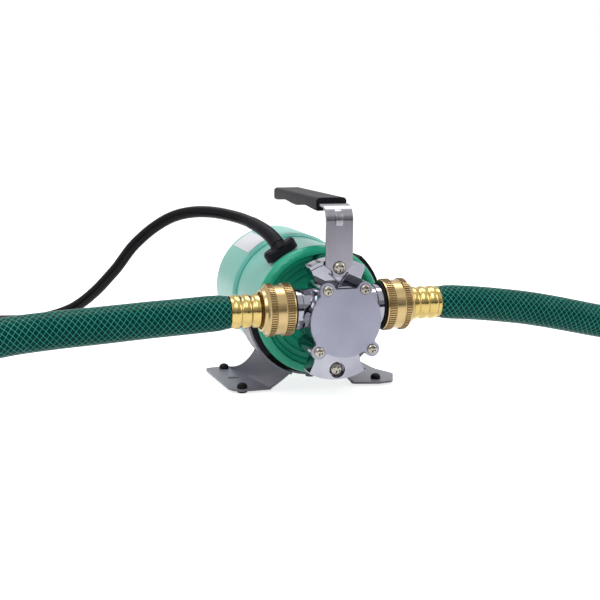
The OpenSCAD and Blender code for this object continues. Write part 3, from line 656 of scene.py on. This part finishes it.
def paint_groove_shade(side, nut):
    # Darker brass goes on the floor of the bands, between the ribs, as painted shade in the
    # grooves
    nut.data.materials.append(GROOVE_SHADE)
    for polygon in nut.data.polygons:
        x = side * polygon.center.x / MM
        r = math.hypot(polygon.center.y - PORT.y, polygon.center.z - PORT.z) / MM
        if knurled(x) and 15.6 < r < 16.1:
            polygon.material_index = 1


def coupling(side, name):
    nut = knurled_nut(side, name + "_knurled_nut")
    paint(nut, BRASS)
    # The grooves between the ribs get painted shade
    paint_groove_shade(side, nut)
    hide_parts(name + "_nut")
    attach(nut, name + "_coupling")
    ferrule = crimped_ferrule(side, name + "_crimped_ferrule")
    paint(ferrule, FERRULE)
    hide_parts(name + "_ferrule")
    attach(ferrule, "pump")
    paint(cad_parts[name + "_stem"], BRASS)
    paint(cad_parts[name + "_washer"], RUBBER)
    # The black ring in the nut's mouth is partly a seal and partly painted shade
    ring = seal_and_shade_ring(side, name + "_seal_and_shade_ring")
    paint(ring, RUBBER)
    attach(ring, "pump")
    paint(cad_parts[name + "_hose_end"], HOSE)


# Screws

def cross_head(name, x, z, y, radius, height, length):
    # A pan head with a cross recess, facing forwards, on a plain shank, its seat at depth y
    place = AXIS + Vector((x, y, z)) * MM
    rows = [(0.02, 0.0), (0.02, radius), (-height * 0.3, radius), (-height * 0.62, radius * 0.9),
            (-height * 0.86, radius * 0.68), (-height, radius * 0.36), (-height, 0.0)]
    head = lathe(name, rows, place, (0, 1, 0), steps=40)
    tip_place = place + Vector((0, -height * MM, 0))
    for turn in (0.35, 0.35 + math.pi / 2):
        bpy.ops.mesh.primitive_cube_add(size=1, location=tip_place)
        slot = bpy.context.object
        slot.scale = (radius * 1.15 * MM, 2.4 * MM, radius * 0.3 * MM)
        slot.rotation_euler = (0, turn, 0)
        settle(slot)
        cut(head, slot)
    bpy.ops.mesh.primitive_cone_add(vertices=16, radius1=0, radius2=radius * 0.34 * MM,
                                    depth=1.9 * MM, location=tip_place,
                                    rotation=(math.pi / 2, 0, 0))
    dimple = settle(bpy.context.object)
    cut(head, dimple)
    bpy.ops.mesh.primitive_cylinder_add(vertices=24, radius=radius * 0.45 * MM, depth=length * MM,
                                        location=place + Vector((0, length / 2 * MM, 0)),
                                        rotation=(math.pi / 2, 0, 0))
    shank = settle(bpy.context.object)
    screw = join(name, [head, shank])
    shade(screw, 35)
    return screw


def screws():
    cover = join("cover_screw_set", [
        cross_head("cover_screw", side * x, z, 0, radius=3.25, height=2.0, length=12)
        for side in (-1, 1) for x, z in COVER_SCREWS])
    lower = cross_head("head_screw_low", 0, LOWER_SCREW_Z, LOWER_SCREW_Y,
                       radius=4.4, height=3.0, length=45)
    upper = cross_head("head_screw_top", 0, HANDLE_SCREW_Z, STRIP_Y - 0.05,
                       radius=4.1, height=2.8, length=50)
    for obj, node in ((cover, "cover_screws"), (lower, "lower_screw"), (upper, "handle_screw")):
        paint(obj, SCREW)
        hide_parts(node)
        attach(obj, "pump")


# Pieces that keep the frame's shape, with their edges rounded

def pump_pieces():
    pieces = [
        ("pump_head", "cast_head", CHROME, "chrome_cast", 0.0005),
        ("cover_plate", "polished_cover", COVER, "cover_chrome", 0.0004),
        ("handle_strip", "bent_strip", STEEL, "bright_steel", 0.0003),
        ("handle_grip", "ridged_grip", PLASTIC, "black_plastic", 0.0006),
        ("front_end_bell", "end_bell", GREEN, "green_plastic", 0.0003),
        # The shell and the tail cover take the green enamel paled as painted glare
        ("motor_shell", "field_shell", GLARE_PALED_GREEN, "pale_green_paint", 0.0003),
        ("rear_cover", "tail_cover", GLARE_PALED_GREEN, "pale_green_paint", 0.0004),
        ("base_bracket", "saddle_sheet", GREY, "bracket_paint", 0.0003),
        ("cushion_strip", "saddle_cushion", RUBBER, "black_rubber", 0.0004),
        ("cord_gland", "lead_gland", PLASTIC, "black_plastic", 0.0006),
        ("rubber_feet", "push_in_feet", RUBBER, "black_rubber", 0.0002),
    ]
    for node, name, mat, slot, bevel in pieces:
        obj = refined(node, name, bevel)
        paint(obj, mat)
        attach(obj, "pump")


def pressed_rib():
    # A rib pressed into the strip, which follows its bend and fades out at both ends
    def face(z):
        rise = max(z - STRIP_BEND_Z, 0)
        return STRIP_Y + STRIP_BEND_R - math.sqrt(STRIP_BEND_R ** 2 - rise ** 2)
    foot, height, left, width, steps = 59.5, 9.9, -2.7, 4.6, 12
    heights = [foot + height * i / steps for i in range(steps + 1)]
    outer = [(face(z) - 0.75 * math.sqrt(math.sin(math.pi * i / steps)), z)
             for i, z in enumerate(heights)]
    inner = [(face(z) + 0.5, z) for z in reversed(heights)]
    points = [AXIS + Vector((left, y, z)) * MM for y, z in outer + inner]
    rib = draw_outline("strip_rib", points + points[:1])
    bpy.ops.mesh.select_all(action="SELECT")
    bpy.ops.mesh.remove_doubles(threshold=0.00001)
    bpy.ops.mesh.edge_face_add()
    bpy.ops.mesh.extrude_region_move(TRANSFORM_OT_translate={"value": (width * MM, 0, 0)})
    bpy.ops.object.mode_set(mode="OBJECT")
    recalculate(rib)
    modify(rib, "BEVEL", width=0.0003, segments=3, limit_method="ANGLE")
    shade(rib, 60)
    paint(rib, STEEL)
    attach(rib, "pump")


def lug_ribs():
    # The two ribs of the upper lug, which meet in a V above the cover
    arms = []
    for start, end in (((-6.2, 30.2), (1.4, 23.4)), ((6.4, 30.6), (1.4, 23.4))):
        middle = ((start[0] + end[0]) / 2, 15.9, (start[1] + end[1]) / 2)
        bpy.ops.mesh.primitive_cube_add(size=1, location=AXIS + Vector(middle) * MM)
        arm = bpy.context.object
        arm.scale = (math.dist(start, end) * MM, 1.7 * MM, 1.1 * MM)
        arm.rotation_euler = (0, -math.atan2(end[1] - start[1], end[0] - start[0]), 0)
        settle(arm)
        modify(arm, "BEVEL", width=0.0003, segments=3)
        arms.append(arm)
    ribs = join("lug_ribs", arms)
    shade(ribs, 40)
    paint(ribs, CHROME)
    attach(ribs, "pump")


def plain_nodes():
    finishes = {
        "rating_label": (LABEL, "label_white"), "tie_bolts": (SCREW, "bright_steel"),
        "bracket_screws": (GREY, "bright_steel"), "cover_gasket": (RUBBER, "black_rubber"),
        "stator_core": (LAMINATION, "lamination_steel"), "field_coils": (COPPER, "copper_wire"),
        "brush_plate": (PLASTIC, "black_plastic"), "brush_holders": (BRASS, "brass"),
        "carbon_brushes": (CARBON, "carbon"),
        "rotor_shaft": (SCREW, "bright_steel"), "armature_core": (LAMINATION, "lamination_steel"),
        "armature_windings": (COPPER, "copper_wire"), "commutator": (BRASS, "brass"),
        "cooling_fan": (PLASTIC, "black_plastic"), "front_bearing": (STEEL, "bright_steel"),
        "rear_bearing": (STEEL, "bright_steel"), "shaft_seal": (RUBBER, "black_rubber"),
        "impeller": (RUBBER, "black_rubber"), "impeller_cam": (BRASS, "brass"),
    }
    for node, (mat, slot) in finishes.items():
        paint(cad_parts[node], mat)


# Studio

# The share of the white world that lights the pump, the floor's glow, and in metres the place and
# width of the cards and the point that the lamps face
AMBIENT = 0.36
FLOOR_GLOW = 0.76
FLAG_Y = -1.1
FLAG_WIDTH = 3.2
LAMP_AIM = Vector((0, 0, 0.06))


def plain_shader(name, colour, rough, glow):
    mat = bpy.data.materials.new(name)
    mat.use_nodes = True
    shader = mat.node_tree.nodes["Principled BSDF"]
    shader.inputs["Base Color"].default_value = colour
    shader.inputs["Roughness"].default_value = rough
    shader.inputs["Emission Color"].default_value = (1, 1, 1, 1)
    shader.inputs["Emission Strength"].default_value = glow
    return mat, shader


def backdrop_rays(tree, *kinds):
    # 1 for the rays that see the background as it is, which metal's reflections do too
    path = tree.nodes.new("ShaderNodeLightPath")
    shown = path.outputs["Is Camera Ray"]
    for kind in kinds:
        shown = math_node(tree, "MAXIMUM", shown, path.outputs[kind])
    return shown


def white_world():
    world = bpy.data.worlds.new("studio")
    bpy.context.scene.world = world
    world.use_nodes = True
    tree = world.node_tree
    background = tree.nodes["Background"]
    shown = backdrop_rays(tree, "Is Glossy Ray", "Is Transmission Ray")
    background.inputs["Color"].default_value = (1, 1, 1, 1)
    strength = math_node(tree, "MULTIPLY_ADD", shown, 1 - AMBIENT, AMBIENT)
    tree.links.new(strength, background.inputs["Strength"])


def white_floor():
    bpy.ops.mesh.primitive_plane_add(size=8, location=(0, 0, -0.0002))
    floor = bpy.context.object
    floor.name = "floor"
    mat, shader = plain_shader("floor", (0.86, 0.86, 0.87, 1), 0.8, 0.0)
    shader.inputs["Specular IOR Level"].default_value = 0.1
    tree = mat.node_tree
    glow = math_node(tree, "MULTIPLY", backdrop_rays(tree, "Is Glossy Ray"), FLOOR_GLOW)
    tree.links.new(glow, shader.inputs["Emission Strength"])
    floor.data.materials.append(mat)


def flag(name, low, high, glow):
    # A card in front of the pump, seen only in reflections
    bpy.ops.mesh.primitive_plane_add(size=1, location=(0, FLAG_Y, (low + high) / 2),
                                     rotation=(math.pi / 2, 0, 0))
    card = bpy.context.object
    card.name = name
    card.scale = (FLAG_WIDTH, high - low, 1)
    card.data.materials.append(plain_shader(name, (0.02, 0.02, 0.022, 1), 1.0, glow)[0])
    for kind in ("camera", "diffuse", "shadow", "transmission", "volume_scatter"):
        setattr(card, "visible_" + kind, False)
    settle(card)


def lamp(name, place, size, power):
    data = bpy.data.lights.new(name, "AREA")
    data.shape = "RECTANGLE"
    data.size, data.size_y = size
    data.energy = power
    obj = bpy.data.objects.new(name, data)
    obj.location = place
    aim = LAMP_AIM - Vector(place)
    obj.rotation_euler = aim.to_track_quat("-Z", "Y").to_euler()
    bpy.context.scene.collection.objects.link(obj)


def studio():
    white_world()
    white_floor()
    flag("dark_flag", 0.02, 0.26, 0.0)
    flag("grey_flag", 0.26, 0.75, 0.42)
    lamp("key", (-0.6, -0.7, 1.1), (0.7, 0.7), 6)
    lamp("fill", (0.9, -0.6, 0.7), (0.6, 0.6), 2.5)
    lamp("top", (0.1, 0.3, 1.2), (0.9, 0.5), 8)


set_camera()
hose(-1, "suction", SUCTION_ROUTE, SUCTION_COIL_X, SUCTION_SWEEP)
hose(1, "discharge", DISCHARGE_ROUTE, DISCHARGE_COIL_X, DISCHARGE_SWEEP)
power_lead()
coupling(-1, "suction")
coupling(1, "discharge")
screws()
pump_pieces()
pressed_rib()
lug_ribs()
plain_nodes()
studio()
bpy.context.scene.view_settings.view_transform = "Standard"
